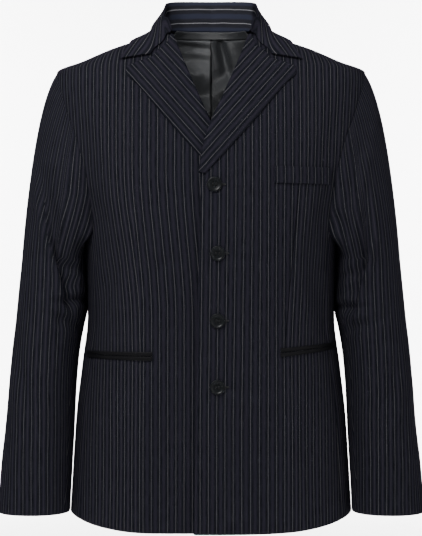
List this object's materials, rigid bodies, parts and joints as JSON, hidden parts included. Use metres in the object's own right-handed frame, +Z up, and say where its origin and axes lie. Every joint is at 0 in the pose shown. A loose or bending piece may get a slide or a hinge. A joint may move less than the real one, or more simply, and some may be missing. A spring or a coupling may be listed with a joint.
{
  "type": "blazer",
  "caption": "Single-breasted pinstripe blazer, filled out as worn, with notch lapels, a folded collar, a breast welt and jetted hip pockets.",
  "frame": {"origin": "middle of the neck hole at the height of the back neck seam, where the wearer's neck holds the garment", "axes": "+Z up along the body, +X towards the wearer's left, -Y out of the front"},
  "size_m": [0.6002, 0.2587, 0.7556],
  "materials": {
    "suiting": "dark navy-black wool twill with pale grey pinstripes",
    "lining_satin": "dark grey satin",
    "jet_satin": "black satin",
    "button": "polished near-black"
  },
  "bodies": {
    "root": {"front_left": "suiting", "front_right": "suiting", "side_left": "suiting", "side_right": "suiting", "back_left": "suiting", "back_right": "suiting", "sleeve_top_left": "suiting", "sleeve_top_right": "suiting", "sleeve_under_left": "suiting", "sleeve_under_right": "suiting", "lapel_left": "suiting", "lapel_right": "suiting", "collar": "suiting", "breast_welt": "suiting", "lining_left": "lining_satin", "lining_right": "lining_satin", "neck_facing": "lining_satin", "jet_lower_left": "jet_satin", "jet_upper_left": "jet_satin", "jet_lower_right": "jet_satin", "jet_upper_right": "jet_satin", "button_1": "button", "button_2": "button", "button_3": "button", "button_4": "button"}
  },
  "joints": []
}
